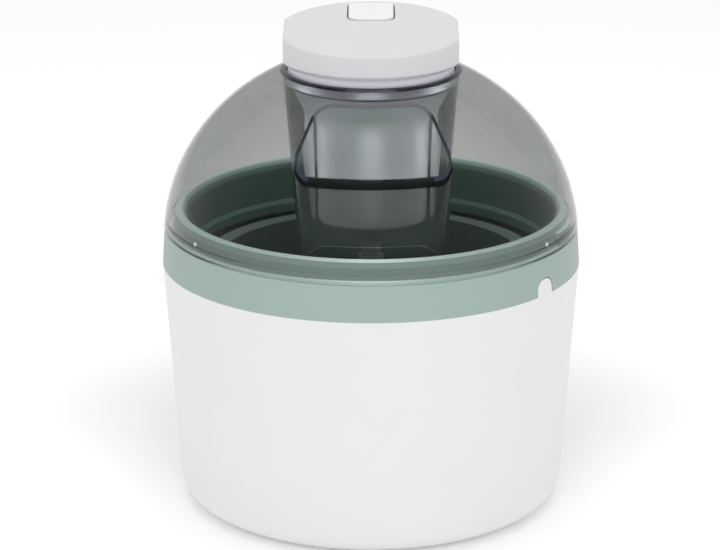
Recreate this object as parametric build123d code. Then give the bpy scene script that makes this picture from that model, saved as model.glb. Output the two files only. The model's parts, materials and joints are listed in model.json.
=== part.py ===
from build123d import *
import os
from math import acos, cos, degrees, pi, radians, sin, sqrt

os.makedirs("parts", exist_ok=True)

# Driving dimensions, millimetres. Z is up, the front of the machine faces -Y.
FOOT = 1.0              # feet stand proud of the housing floor
HOUSING_R_TOP = 105.0   # widest radius, at the seam with the collar ring
HOUSING_R_LOW = 96.4    # radius the tapered wall would reach at the floor
SEAM_Z = 124.4
HOUSING_WALL = 2.6
KEY_ANGLE = -36.0       # locating key, measured from +X about Z
LUG_ANGLES = (-30.0, 150.0)   # bayonet lugs under the lid rim
MARK_ANGLES = (-34.4, 214.4)  # moulded dots that show how the lid lines up
KEY_W = 13.4
KEY_TOP = 132.4
RING_TOP_R = 103.8      # collar ring just under the lid
RING_TOP_Z = 142.4
CREST_Z = 153.4
BOWL_R_TOP = 86.0
BOWL_R_LOW = 81.5
BOWL_BASE_Z = 15.0
BOWL_RIM_Z = 122.5
LINER_R_TOP = 77.0
LINER_R_LOW = 72.5
LINER_FLOOR_Z = 36.0
DOME_A = 104.4          # lid dome is a half ellipse turned about Z
DOME_B = 96.2
DOME_CZ = 135.5
DOME_WALL = 2.4
HOLE_R = 41.8           # inside of the chimney mouth
HOLE_EDGE_R = 44.5      # outside of the chimney mouth
CHIMNEY_STEP_Z = 216.0
CHIMNEY_LOW_Z = 145.0
CHIMNEY_LOW_R = 36.6
FEED_R_IN = 55.2
FEED_R_OUT = 87.0
FEED_HALF_ANGLE = 26.8
FEED_CENTRE = -89.2     # the opening sits a touch off the front
CHUTE_LOW_Z = 147.0
CHUTE_WALL = 2.2
CHUTE_DRAFT = 1.8
CAP_R = 46.0
CAP_FLAT = 43.25        # the cap is a disc cut flat on both sides
CAP_SEAM_Z = 229.0
CAP_LOW_Z = 226.6
CAP_MID_Z = 242.9       # height of the sloping top at the centre
CAP_SLOPE = 4.35        # degrees, the top falls towards the front
COLLAR_R = 41.3
MOTOR_R = 33.0
MOTOR_LOW_Z = 146.6
SWITCH_W = 22.6
SWITCH_L = 27.0
SWITCH_Y = 25.5
SWITCH_PIVOT = 3.0      # pivot pin below the cap top
MODULE = 0.8
TEETH_PINION = 12
TEETH_LARGE = 26
TEETH_OUTPUT = 36
LAYSHAFT_X = MODULE * (TEETH_OUTPUT + TEETH_PINION) / 2
MOTOR_X = LAYSHAFT_X - MODULE * (TEETH_LARGE + TEETH_PINION) / 2
MOTOR_CAN_R = 22.0
MOTOR_EAR_Y = 25.2
SHAFT_R = 4.5
HEX_FLATS = 7.6


def save(name, shape):
    export_step(shape, f"parts/{name}.step")
    print(name, round(shape.volume / 1000, 2), "cm3")


def turned(points):
    """Solid of revolution about Z from a closed (radius, height) outline."""
    outline = Polyline(*[(r, 0, z) for r, z in points], close=True)
    return revolve(make_face(outline), Axis.Z, 360)


def tube(r_out, r_in, z0, z1, at=(0, 0)):
    body = Pos(at[0], at[1], z0) * Cylinder(r_out, z1 - z0, align=(Align.CENTER, Align.CENTER, Align.MIN))
    if r_in <= 0:
        return body
    return body - Pos(at[0], at[1], z0 - 1) * Cylinder(
        r_in, z1 - z0 + 2, align=(Align.CENTER, Align.CENTER, Align.MIN))


def rod(r, z0, z1, at=(0, 0)):
    return tube(r, 0, z0, z1, at)


def block(x0, x1, y0, y1, z0, z1):
    centre = ((x0 + x1) / 2, (y0 + y1) / 2, (z0 + z1) / 2)
    return Pos(*centre) * Box(x1 - x0, y1 - y0, z1 - z0)


def around(angles, shape):
    return [Rot(0, 0, a) * shape for a in angles]


def polar(r, angle):
    return (r * cos(radians(angle)), r * sin(radians(angle)))


def dome_height(r, grow=0.0):
    return DOME_CZ + (DOME_B + grow) * sqrt(1 - (r / (DOME_A + grow)) ** 2)


def pan_screw(r_head, h_head, r_shank, z_head, z_tip):
    """Screw pointing up: cross-recessed head below, shank above."""
    head = rod(r_head, z_head, z_head + h_head)
    cross = block(-0.45, 0.45, -r_head * 0.6, r_head * 0.6, z_head - 1, z_head + h_head * 0.5)
    cross += block(-r_head * 0.6, r_head * 0.6, -0.45, 0.45, z_head - 1, z_head + h_head * 0.5)
    return head - cross + rod(r_shank, z_head + h_head, z_tip)


# ---------------------------------------------------------------- housing

def housing_radius(z):
    return HOUSING_R_LOW + (HOUSING_R_TOP - HOUSING_R_LOW) * z / SEAM_Z


def key_solid(gap):
    """Rounded upright key in the rim, grown by gap on every free edge."""
    w = KEY_W / 2 + gap
    plan = Plane(origin=(*polar(95, KEY_ANGLE), 0), x_dir=(*polar(1, KEY_ANGLE + 90), 0),
                 z_dir=(*polar(1, KEY_ANGLE), 0))
    top = KEY_TOP + gap
    face = make_face(Polyline((-w, 112), (w, 112), (w - 1.0, top), (1.0 - w, top), close=True))
    face = fillet(face.vertices().group_by(Axis.Y)[-1], 4.6 + gap / 2)
    return extrude(plan * face, 14)


def outer_housing():
    base_fillet = 12.9
    outer = turned([(0, FOOT), (housing_radius(FOOT), FOOT), (HOUSING_R_TOP, SEAM_Z), (0, SEAM_Z)])
    outer = fillet(outer.edges().filter_by(GeomType.CIRCLE).group_by(Axis.Z)[0], base_fillet)
    z_in = FOOT + 3.0
    inner = turned([(0, z_in), (housing_radius(z_in) - HOUSING_WALL, z_in),
                    (HOUSING_R_TOP - HOUSING_WALL, SEAM_Z + 1), (0, SEAM_Z + 1)])
    inner = fillet(inner.edges().filter_by(GeomType.CIRCLE).group_by(Axis.Z)[0], base_fillet - 2.6)
    shell = outer - inner
    key_band = turned([(102.4, SEAM_Z - 4), (HOUSING_R_TOP, SEAM_Z - 4), (HOUSING_R_TOP, SEAM_Z),
                       (RING_TOP_R + 0.55, KEY_TOP + 0.5), (101.9, KEY_TOP + 0.5)])
    shell += key_band & key_solid(0)
    for a in (45, 135, 225, 315):
        shell -= rod(7.3, FOOT - 1, FOOT + 1.0, polar(70, a))
        shell -= rod(2.3, FOOT - 1, FOOT + 4, polar(70, a))
    for a in (0, 90, 180, 270):
        shell -= rod(3.4, FOOT - 1, FOOT + 1.4, polar(56, a))
        shell -= rod(1.7, FOOT - 1, FOOT + 4, polar(56, a))
    return shell


def feet():
    one = rod(7.2, 0, 2.0) + rod(2.3, 2.0, 4.0) + rod(3.2, 4.0, 5.6)
    one = fillet(one.edges().group_by(Axis.Z)[0], 0.6)
    return Compound(children=[Pos(*polar(70, a), 0) * one for a in (45, 135, 225, 315)])


def bowl_seat():
    """Ring bolted to the floor; its raised keys stop the bowl turning."""
    ring = turned([(50, 4.0), (62, 4.0), (62, 12.0), (50, 12.0)])
    hollow = turned([(52, 3.5), (54, 3.5), (54, 9.5), (52, 9.5)])
    ring -= hollow
    for a in (0, 90, 180, 270):
        ring += Rot(0, 0, a) * block(52.5, 59.5, -4, 4, 4.0, 12.0)
        ring += Rot(0, 0, a + 45) * block(52, 60, -3.5, 3.5, 11.0, 17.0)
        ring -= rod(1.25, 3, 11, polar(56, a))
    return ring


def seat_pads():
    """Soft pads between the keys that the bowl stands on."""
    ring = turned([(51.5, 12.0), (60.5, 12.0), (60.5, BOWL_BASE_Z), (51.5, BOWL_BASE_Z)])
    wedge = []
    for a in (0, 90, 180, 270):
        outline = Polyline((0, 0), polar(90, a - 33), polar(127, a), polar(90, a + 33), close=True)
        wedge.append(ring & extrude(make_face(outline), 30))
    return Compound(children=wedge)


def seat_screws():
    one = pan_screw(3.1, 1.2, 1.25, FOOT + 0.1, 10.5)
    return Compound(children=[Pos(*polar(56, a), 0) * one for a in (0, 90, 180, 270)])


# ---------------------------------------------------------------- bowl

def lerp_r(z, z0, r0, z1, r1):
    return r0 + (r1 - r0) * (z - z0) / (z1 - z0)


def bowl_shell():
    wall = 2.2
    outer = turned([(0, BOWL_BASE_Z), (BOWL_R_LOW, BOWL_BASE_Z), (BOWL_R_TOP, BOWL_RIM_Z), (0, BOWL_RIM_Z)])
    outer = fillet(outer.edges().filter_by(GeomType.CIRCLE).group_by(Axis.Z)[0], 7)
    z_in = BOWL_BASE_Z + 5.0
    inner = turned([(0, z_in), (BOWL_R_LOW - wall, z_in), (BOWL_R_TOP - wall, BOWL_RIM_Z + 1),
                    (0, BOWL_RIM_Z + 1)])
    inner = fillet(inner.edges().filter_by(GeomType.CIRCLE).group_by(Axis.Z)[0], 5)
    shell = outer - inner
    for a in (45, 135, 225, 315):
        shell -= Rot(0, 0, a) * block(51, 61, -4.2, 4.2, BOWL_BASE_Z - 1, BOWL_BASE_Z + 2.5)
    return shell - rod(4.0, BOWL_BASE_Z - 1, BOWL_BASE_Z + 6, (0, 0))


def bowl_plug():
    return rod(4.0, BOWL_BASE_Z + 0.3, BOWL_BASE_Z + 5.0) + rod(5.5, BOWL_BASE_Z + 5.0, BOWL_BASE_Z + 6.5)


def bowl_liner():
    """Cold metal cup, flanged over the rim of the insulated shell."""
    t = 1.2
    rim = BOWL_RIM_Z + 2.0
    outline = [(0, LINER_FLOOR_Z - t), (LINER_R_LOW - 5, LINER_FLOOR_Z - t),
               (LINER_R_LOW + t, LINER_FLOOR_Z + 5),
               (LINER_R_TOP + t, rim - t), (BOWL_R_TOP - 0.6, rim - t), (BOWL_R_TOP - 0.6, rim),
               (LINER_R_TOP, rim), (LINER_R_LOW, LINER_FLOOR_Z + 5), (LINER_R_LOW - 5.5, LINER_FLOOR_Z),
               (0, LINER_FLOOR_Z)]
    cup = turned(outline)
    return cup - rod(3.0, LINER_FLOOR_Z - 3, LINER_FLOOR_Z + 1)


def rim_seal():
    z = BOWL_RIM_Z
    return turned([(79.6, z), (BOWL_R_TOP - 0.3, z), (BOWL_R_TOP - 0.3, z + 0.8), (79.6, z + 0.8)])


def coolant_fill():
    """Freezing liquid sealed between the two cups."""
    body = turned([(0, 22.0), (BOWL_R_LOW - 7.5, 22.0), (BOWL_R_LOW - 2.6, 28),
                   (BOWL_R_TOP - 3.2, 118), (0, 118)])
    core = turned([(0, 34.4), (LINER_R_LOW - 5, 34.4), (LINER_R_LOW + 1.6, 40.6), (LINER_R_TOP + 1.7, 119),
                   (0, 119)])
    return body - core - rod(6.0, 20, 35)


def bowl_pivot():
    """Riveted pin that the paddle turns on."""
    pin = rod(5.0, LINER_FLOOR_Z, LINER_FLOOR_Z + 1.5) + rod(3.5, LINER_FLOOR_Z + 1.5, LINER_FLOOR_Z + 13)
    pin = fillet(pin.edges().group_by(Axis.Z)[-1], 1.2)
    pin += rod(3.0, LINER_FLOOR_Z - 1.2, LINER_FLOOR_Z)
    return pin + rod(4.5, LINER_FLOOR_Z - 2.4, LINER_FLOOR_Z - 1.2)


# ---------------------------------------------------------------- paddle

def hexagon(flats):
    return RegularPolygon(flats / 2, 6, major_radius=False)


def paddle_hub():
    z0 = LINER_FLOOR_Z + 1.8
    hub = rod(8.0, z0, 100) + turned([(0, 100), (8.0, 100), (6.4, 112), (6.4, 126.0), (0, 126.0)])
    hub -= rod(3.57, z0 - 1, LINER_FLOOR_Z + 13.6)
    hub -= Pos(0, 0, 108) * extrude(hexagon(HEX_FLATS + 0.3), 20)
    return hub


def paddle_frame():
    """Open blade frame: a wall scraper on one side, a folding blade on the other."""
    z0, z1 = LINER_FLOOR_Z + 3.0, 106.0
    r_low = LINER_R_LOW - 1.5
    r_top = lerp_r(z1, LINER_FLOOR_Z, LINER_R_LOW, BOWL_RIM_Z, LINER_R_TOP) - 1.5
    outline = Polyline((5, z0), (r_low - 7, z0), (r_low, z0 + 7), (r_top, z1 - 4), (r_top - 4, z1),
                       (5, z1 - 14), close=True)
    window = Polyline((12, z0 + 9), (r_low - 12, z0 + 9), (r_low - 10, z0 + 12), (r_top - 13, z1 - 11),
                      (r_top - 15, z1 - 12.5), (12, z1 - 26), close=True)
    plate = Plane.XZ.offset(-2.0)
    right = extrude(plate * make_face(outline), 4) - extrude(Plane.XZ.offset(-5) * make_face(window), 10)
    left_edge = Polyline((-5, z0), (-56, z0), (-60, z0 + 5), (-44, z1 - 24), (-38, z1 - 20), (-5, z1 - 34),
                         close=True)
    left_hole = Polyline((-12, z0 + 9), (-46, z0 + 9), (-36, z1 - 36), (-12, z1 - 45), close=True)
    left = extrude(plate * make_face(left_edge), 4) - extrude(Plane.XZ.offset(-5) * make_face(left_hole), 10)
    ring = tube(10.5, 8.0, z0, z0 + 18) + tube(10.5, 8.0, 78, 92)
    frame = right + left + ring
    return frame - rod(8.0, z0 - 5, 120)


# ---------------------------------------------------------------- collar ring

def collar_ring():
    outline = [(HOUSING_R_TOP, SEAM_Z), (RING_TOP_R, RING_TOP_Z), (100.6, RING_TOP_Z),
               (99.2, RING_TOP_Z + 1.2),
               (98.6, 149.5), (97.9, 152.2), (96.3, CREST_Z), (94.4, 152.9), (93.0, 151.2), (92.3, 148.5),
               (91.6, 131.8), (90.5, 129.6), (90.3, 125.2), (91.0, 123.6), (92.6, 123.4), (93.6, 124.6),
               (94.2, 131.0), (95.0, 148.6), (95.8, 150.3), (96.5, 149.0), (97.2, 141.2), (98.4, 139.8),
               (101.0, 139.6), (101.8, 127.0), (99.4, 125.0), (98.6, 114.0), (101.1, 114.0), (101.9, SEAM_Z)]
    ring = turned(outline)
    notch = turned([(101.9, 123.5), (108, 123.5), (108, 136), (100.9, 136)]) & key_solid(0.4)
    ring -= notch
    ramp = turned([(98.0, 147.6), (100.5, 147.6), (100.5, 149.4), (98.0, 149.4)])
    for a in LUG_ANGLES:
        wedge = extrude(make_face(Polyline((0, 0), polar(120, a + 5), polar(120, a + 19), close=True)), 200)
        edge = Polyline((0, 0), polar(120, a + 19), polar(120, a + 20.5), close=True)
        stop = extrude(make_face(edge), 200)
        ring += ramp & wedge
        ring += turned([(98.0, 143.6), (100.5, 143.6), (100.5, 149.4), (98.0, 149.4)]) & stop
    return ring


# ---------------------------------------------------------------- lid

def dome_profile(grow, r0, r1, steps=14):
    out = []
    for i in range(steps + 1):
        r = r1 + (r0 - r1) * i / steps
        out.append((r, dome_height(r, grow)))
    return out


def dome_solid(grow, z_low):
    """Solid bounded by the elliptical cap, cut off at z_low."""
    a, b = DOME_A + grow, DOME_B + grow
    ellipse = Plane.XZ * Pos(0, DOME_CZ) * Ellipse(a, b)
    half = ellipse & (Plane.XZ * Pos(a / 2 + 1, z_low + 150) * Rectangle(a + 2, 300))
    return revolve(half, Axis.Z, 360)


def feed_plan(grow):
    """Annular sector seen from above, corners rounded, grown by grow."""
    r_in, r_out = FEED_R_IN - grow, FEED_R_OUT + grow
    a_in = FEED_HALF_ANGLE + degrees(grow / r_in)
    a_out = FEED_HALF_ANGLE + degrees(grow / r_out)
    p_in = [polar(r_in, FEED_CENTRE - a_in), polar(r_in, FEED_CENTRE), polar(r_in, FEED_CENTRE + a_in)]
    p_out = [polar(r_out, FEED_CENTRE - a_out), polar(r_out, FEED_CENTRE), polar(r_out, FEED_CENTRE + a_out)]
    wire = [ThreePointArc(*p_in), Line(p_in[2], p_out[2]), ThreePointArc(*reversed(p_out)),
            Line(p_out[0], p_in[0])]
    face = make_face(Curve() + wire)
    return fillet(face.vertices(), 8.0 + grow)


def feed_prism(grow, z_low, z_high, narrowing):
    """Sector prism that narrows downwards by the given amount on every side."""
    low = Pos(0, 0, z_low) * feed_plan(grow - narrowing)
    high = Pos(0, 0, z_high) * feed_plan(grow)
    return loft([low, high])


def lid_dome():
    shell = dome_solid(0, RING_TOP_Z) - dome_solid(-DOME_WALL, RING_TOP_Z - 1)
    shell -= rod(HOLE_EDGE_R - 0.6, 200, 240)
    shell -= extrude(Pos(0, 0, 150) * feed_plan(CHUTE_WALL), 90)
    lug = turned([(99.7, 144.2), (102.6, 144.2), (102.6, 146.4), (99.7, 146.4)])
    for a in LUG_ANGLES:
        outline = Polyline((0, 0), polar(120, a - 4), polar(120, a + 4), close=True)
        shell += lug & extrude(make_face(outline), 200)
    for a in MARK_ANGLES:
        shell += Pos(*polar(102.4, a), 148.9) * Sphere(1.8) - dome_solid(-1.0, 100)
    return shell


def chimney_radius(z):
    return lerp_r(z, CHIMNEY_LOW_Z, CHIMNEY_LOW_R, CHIMNEY_STEP_Z, HOLE_R - 1.2)


def chimney_tube():
    t = 2.1
    top = dome_height(HOLE_EDGE_R) + 0.4
    return turned([(chimney_radius(CHIMNEY_LOW_Z) + t, CHIMNEY_LOW_Z),
                   (HOLE_EDGE_R - 0.6, CHIMNEY_STEP_Z + 1), (HOLE_EDGE_R - 0.6, top), (HOLE_R, top),
                   (HOLE_R, CHIMNEY_STEP_Z), (chimney_radius(CHIMNEY_STEP_Z), CHIMNEY_STEP_Z),
                   (chimney_radius(CHIMNEY_LOW_Z) + 0.1, CHIMNEY_LOW_Z + 2),
                   (chimney_radius(CHIMNEY_LOW_Z) - 2.0, CHIMNEY_LOW_Z)])


def feed_chute():
    outer = feed_prism(CHUTE_WALL, CHUTE_LOW_Z, 226, CHUTE_DRAFT)
    inner = feed_prism(0, CHUTE_LOW_Z - 1, 227, CHUTE_DRAFT)
    walls = (outer - inner) & dome_solid(0.6, CHUTE_LOW_Z - 2)
    return walls


# ---------------------------------------------------------------- motor unit

def cap_plan(r, flat):
    return Circle(r) & Rectangle(2 * flat, 4 * r)


def top_half_space(drop=0.0, thick=40.0):
    """Everything above the sloping top plane lowered by drop."""
    plate = Box(140, 140, thick, align=(Align.CENTER, Align.CENTER, Align.MIN))
    return Pos(0, 0, CAP_MID_Z - drop) * Rot(CAP_SLOPE, 0, 0) * plate


def on_top(shape):
    """Place a shape drawn about the origin onto the sloping top at the switch."""
    return Pos(0, 0, CAP_MID_Z) * Rot(CAP_SLOPE, 0, 0) * Pos(0, SWITCH_Y, 0) * shape


def switch_plan(grow):
    face = Rectangle(SWITCH_W + 2 * grow, SWITCH_L + 2 * grow)
    face = fillet(face.vertices().group_by(Axis.Y)[0], 6.0)
    return fillet(face.vertices().group_by(Axis.Y)[-1], 2.0)


CAP_SCREW_ANGLES = (30, 150, 210, 330)


def cap_shell():
    outer = extrude(Pos(0, 0, CAP_SEAM_Z) * cap_plan(CAP_R, CAP_FLAT), 30) - top_half_space()
    outer = fillet(outer.edges().group_by(Axis.Z)[-1] + outer.faces().sort_by(Axis.Z)[-1].edges(), 1.4)
    inner = extrude(Pos(0, 0, CAP_SEAM_Z - 1) * cap_plan(CAP_R - 2.2, CAP_FLAT - 2.2), 31)
    inner -= top_half_space(2.2)
    shell = outer - inner
    for a in CAP_SCREW_ANGLES:
        boss = rod(3.6, CAP_SEAM_Z, 260, polar(36.6, a)) - top_half_space(1.5)
        shell += boss - rod(1.3, CAP_SEAM_Z - 1, 237, polar(36.6, a))
    rim = extrude(Pos(0, 0, -6.0) * switch_plan(2.3), 5.0)
    frame = on_top(rim - extrude(Pos(0, 0, -7) * switch_plan(0.7), 8))
    shell += frame
    shell -= on_top(extrude(Pos(0, 0, -8) * switch_plan(0.7), 20))
    shell -= on_top(switch_axis(0.8, 26.0))
    return shell - Pos(0, 40, GLAND_Z) * Rot(90, 0, 0) * Cylinder(5.0, 30)


GLAND_Z = 236.0


def cord_gland():
    def along(r, y0, y1):
        return Pos(0, (y0 + y1) / 2, GLAND_Z) * Rot(90, 0, 0) * Cylinder(r, y1 - y0)
    body = along(5.0, 43.0, 46.0) + along(6.4, 46.0, 47.8)
    body += along(6.4, 41.8, 43.1) + along(4.8, 47.8, 54.0)
    body += along(5.0, 41.8, 43.1)
    return body - along(3.2, 40, 56)


def power_switch():
    body = on_top(extrude(Pos(0, 0, -4.4) * switch_plan(0), 5.6))
    body = fillet(body.faces().sort_by(Axis.Z)[-1].edges(), 0.8)
    body += on_top(Pos(0, 0, -5.4) * Box(8, 5, 3.2))
    body -= on_top(switch_axis(0.86, 30))
    marks = on_top(Pos(0, -7.5, 1.2) * Box(4.6, 0.9, 0.6))
    ring = Pos(0, 7.5, 0.9) * extrude(Circle(2.6) - Circle(1.8), 0.6)
    return body - marks - on_top(ring)


def switch_axis(r, length):
    return Pos(0, 0, -SWITCH_PIVOT) * Rot(0, 90, 0) * Cylinder(r, length)


def switch_pin():
    return on_top(switch_axis(0.8, 26.0))


def switch_module():
    """Snap-action switch hung under the rocker."""
    case = on_top(block(-6, 6, -5, 5, -14.0, -8.6))
    tabs = on_top(block(-4.4, -3.6, -2, 2, -17, -14) + block(3.6, 4.4, -2, 2, -17, -14))
    return case + tabs


def motor_housing():
    flange = loft([Pos(0, 0, CAP_LOW_Z) * cap_plan(43.6, 41.9), Pos(0, 0, CAP_SEAM_Z) * cap_plan(45.4, 42.8)])
    outer = flange + rod(COLLAR_R, CHIMNEY_STEP_Z, CAP_LOW_Z + 0.5)
    outer += turned([(0, MOTOR_LOW_Z), (24.0, MOTOR_LOW_Z), (27.0, MOTOR_LOW_Z + 1.6), (28.0, 150.4),
                     (31.2, 152.0), (MOTOR_R, 156.0), (MOTOR_R, CHIMNEY_STEP_Z + 1), (0, CHIMNEY_STEP_Z + 1)])
    inner = turned([(0, 149.0), (24.6, 149.0), (25.6, 152.6), (29.2, 154.4), (30.8, 158.0), (30.8, 218.2),
                    (39.2, 218.2), (39.2, 240), (0, 240)])
    shell = outer - inner
    for a in (100, 180, 260):
        post = rod(3.0, 148, 176.0, polar(26.2, a))
        shell += post - rod(1.25, 168, 177, polar(26.2, a))
    shell += rod(3.4, 148, 156.5, (LAYSHAFT_X, 0)) - rod(1.5, 151, 158, (LAYSHAFT_X, 0))
    shell += tube(8.2, 6.5, 148, 155.0)
    shell -= rod(6.5, 140, 160)
    for a in CAP_SCREW_ANGLES:
        boss = rod(3.6, 217, CAP_SEAM_Z, polar(36.6, a)) & rod(39.6, 210, 240)
        shell += boss
        shell -= rod(2.9, 210, 219.5, polar(36.6, a))
        shell -= rod(1.6, 210, 230, polar(36.6, a))
    return shell


def cap_screws():
    one = pan_screw(2.7, 1.6, 1.3, 217.4, 235.5)
    return Compound(children=[Pos(*polar(36.6, a), 0) * one for a in CAP_SCREW_ANGLES])


def output_bush():
    return tube(6.5, SHAFT_R + 0.05, MOTOR_LOW_Z + 0.2, 156.0)


def gear(teeth, z0, z1, bore, phase=0.0):
    """Spur gear with trapezoid teeth relieved for running clearance."""
    rp = MODULE * teeth / 2
    tip, root = rp + 0.92 * MODULE, rp - 1.25 * MODULE
    pts = []
    for i in range(teeth):
        a = 360.0 * i / teeth + phase
        half = 90.0 / teeth
        for r, k in ((root, -1.62), (rp, -0.90), (tip, -0.42), (tip, 0.42), (rp, 0.90), (root, 1.62)):
            pts.append(polar(r, a + k * half))
    face = make_face(Polyline(*pts, close=True))
    body = extrude(Pos(0, 0, z0) * face, z1 - z0)
    if bore > 0:
        body -= rod(bore, z0 - 1, z1 + 1)
    return body


def output_shaft():
    shaft = rod(SHAFT_R, 130.0, 166.4)
    shaft += rod(5.8, 156.3, 157.2)
    return shaft + Pos(0, 0, 112) * extrude(hexagon(HEX_FLATS), 20)


def output_gear():
    return gear(TEETH_OUTPUT, 158.0, 165.0, SHAFT_R, 0.0) + tube(7.5, SHAFT_R, 157.2, 158.0)


def drive_coupling():
    """Dark splash disc pressed on the shaft under the motor unit."""
    body = turned([(0, 135.0), (6.8, 135.0), (7.6, 135.8), (7.6, 142.0),
                   (9.5, 144.0), (9.5, 145.6), (0, 145.6)])
    return body - rod(SHAFT_R, 130, 150)


def layshaft_pin():
    return rod(1.5, 151.0, 177.5, (LAYSHAFT_X, 0))


def layshaft_gear():
    phase = 180.0 + 180.0 / TEETH_PINION
    small = gear(TEETH_PINION, 157.0, 166.2, 1.56, phase)
    large = gear(TEETH_LARGE, 166.2, 171.6, 1.56, 180.0)
    return Pos(LAYSHAFT_X, 0, 0) * (small + large)


def motor_pinion():
    return Pos(MOTOR_X, 0, 0) * gear(TEETH_PINION, 166.9, 172.4, 1.5, 180.0 / TEETH_PINION)


def rotor_shaft():
    return rod(1.5, 166.9, 184.6, (MOTOR_X, 0)) + rod(14.0, 184.6, 196.0, (MOTOR_X, 0))


def gear_plate():
    plate = rod(30.2, 176.0, 177.6)
    plate -= rod(4.0, 175, 179, (MOTOR_X, 0))
    plate -= rod(1.5, 175, 179, (LAYSHAFT_X, 0))
    for y in (-MOTOR_EAR_Y, MOTOR_EAR_Y):
        plate -= rod(1.25, 175, 179, (MOTOR_X, y))
    for a in (100, 180, 260):
        plate -= rod(1.5, 175, 179, polar(26.2, a))
    return plate


def plate_screws():
    head = rod(2.5, 0, 1.5) - block(-1.6, 1.6, -0.35, 0.35, 0.9, 3)
    one = Pos(0, 0, 177.6) * head + rod(1.25, 169, 177.6)
    return Compound(children=[Pos(*polar(26.2, a), 0) * one for a in (100, 180, 260)])


def motor_can():
    can = rod(MOTOR_CAN_R, 177.6, 202.0, (MOTOR_X, 0))
    for y in (-MOTOR_EAR_Y, MOTOR_EAR_Y):
        can += rod(3.4, 177.6, 179.0, (MOTOR_X, y))
        ear_from, ear_to = sorted((y, y * 0.8))
        can += block(MOTOR_X - 3.4, MOTOR_X + 3.4, ear_from, ear_to, 177.6, 179.0)
        can -= rod(1.5, 177, 180, (MOTOR_X, y))
    can -= rod(MOTOR_CAN_R - 1.2, 179.2, 200.8, (MOTOR_X, 0))
    return can - rod(2.2, 170, 190, (MOTOR_X, 0))


def motor_screws():
    head = rod(2.5, 0, 1.5) - block(-1.6, 1.6, -0.35, 0.35, 0.9, 3)
    one = Pos(0, 0, 179.0) * head + rod(1.25, 174.2, 179.0)
    return Compound(children=[Pos(MOTOR_X, y, 0) * one for y in (-MOTOR_EAR_Y, MOTOR_EAR_Y)])


def motor_coil():
    return tube(MOTOR_CAN_R - 1.4, 15.0, 181.4, 199.8, (MOTOR_X, 0))


def motor_bearing():
    return tube(2.2, 1.56, 177.6, 181.2, (MOTOR_X, 0))


def terminal_block():
    body = block(-12, 12, 8, 20, 204.0, 213.0)
    for x in (-8, 0, 8):
        body -= rod(2.0, 210, 215, (x, 14))
    return body + block(-12, 12, 12, 16, 202.0, 204.0)


def wires():
    out = []
    for x in (-8.0, 8.0):
        path = Spline((x, 14, 211.0), (x * 0.9, 14, 220.0), (x * 0.5, SWITCH_Y, 225.5))
        out.append(sweep(Plane(path @ 0, z_dir=path % 0) * Circle(0.9), path=path))
    path = Spline((0, 14, 211.0), (0.8, 14.6, 216.0), (8, 21, 225.0), (8.5, 33, 231.5), (0.8, 40.6, GLAND_Z))
    out.append(sweep(Plane(path @ 0, z_dir=path % 0) * Circle(0.9), path=path))
    return Compound(children=out)


PARTS = {
    "outer_housing": outer_housing,
    "rubber_feet": feet,
    "bowl_seat": bowl_seat,
    "seat_pads": seat_pads,
    "seat_screws": seat_screws,
    "bowl_shell": bowl_shell,
    "bowl_plug": bowl_plug,
    "bowl_liner": bowl_liner,
    "rim_seal": rim_seal,
    "coolant_fill": coolant_fill,
    "bowl_pivot": bowl_pivot,
    "paddle_hub": paddle_hub,
    "paddle_frame": paddle_frame,
    "collar_ring": collar_ring,
    "lid_dome": lid_dome,
    "chimney_tube": chimney_tube,
    "feed_chute": feed_chute,
    "cap_shell": cap_shell,
    "cord_gland": cord_gland,
    "power_switch": power_switch,
    "switch_pin": switch_pin,
    "switch_module": switch_module,
    "motor_housing": motor_housing,
    "cap_screws": cap_screws,
    "output_bush": output_bush,
    "output_shaft": output_shaft,
    "output_gear": output_gear,
    "drive_coupling": drive_coupling,
    "layshaft_pin": layshaft_pin,
    "layshaft_gear": layshaft_gear,
    "motor_pinion": motor_pinion,
    "rotor_shaft": rotor_shaft,
    "gear_plate": gear_plate,
    "plate_screws": plate_screws,
    "motor_can": motor_can,
    "motor_coil": motor_coil,
    "motor_bearing": motor_bearing,
    "motor_screws": motor_screws,
    "terminal_block": terminal_block,
    "wires": wires,
}

for part_name, make in PARTS.items():
    save(part_name, make())
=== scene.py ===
# %% [markdown]
# # An ice cream maker, dressed for the shelf
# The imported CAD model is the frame: every solid is already in its place and rides on its
# body. This lesson adds the surfaces, a few finer mouldings, light and a camera.

# %% Load the frame
import bpy, bmesh, json, math
from mathutils import Matrix, Vector

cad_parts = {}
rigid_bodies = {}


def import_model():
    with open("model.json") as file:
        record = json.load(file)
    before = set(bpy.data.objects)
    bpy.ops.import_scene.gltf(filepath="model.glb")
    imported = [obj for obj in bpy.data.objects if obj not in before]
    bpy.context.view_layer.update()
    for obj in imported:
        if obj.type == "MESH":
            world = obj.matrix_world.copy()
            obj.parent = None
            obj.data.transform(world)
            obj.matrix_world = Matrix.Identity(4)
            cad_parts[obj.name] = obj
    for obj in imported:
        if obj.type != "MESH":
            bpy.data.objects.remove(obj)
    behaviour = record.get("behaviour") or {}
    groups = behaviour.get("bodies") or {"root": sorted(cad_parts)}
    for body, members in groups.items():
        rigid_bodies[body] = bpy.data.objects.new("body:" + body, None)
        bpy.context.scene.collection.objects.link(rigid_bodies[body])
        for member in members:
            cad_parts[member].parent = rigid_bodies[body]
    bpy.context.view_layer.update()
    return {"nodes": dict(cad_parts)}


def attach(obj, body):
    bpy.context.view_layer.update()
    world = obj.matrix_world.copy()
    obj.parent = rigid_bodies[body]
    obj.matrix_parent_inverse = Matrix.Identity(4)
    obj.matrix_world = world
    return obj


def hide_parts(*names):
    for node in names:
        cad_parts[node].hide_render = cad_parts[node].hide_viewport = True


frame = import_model()
MM = 0.001

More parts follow.
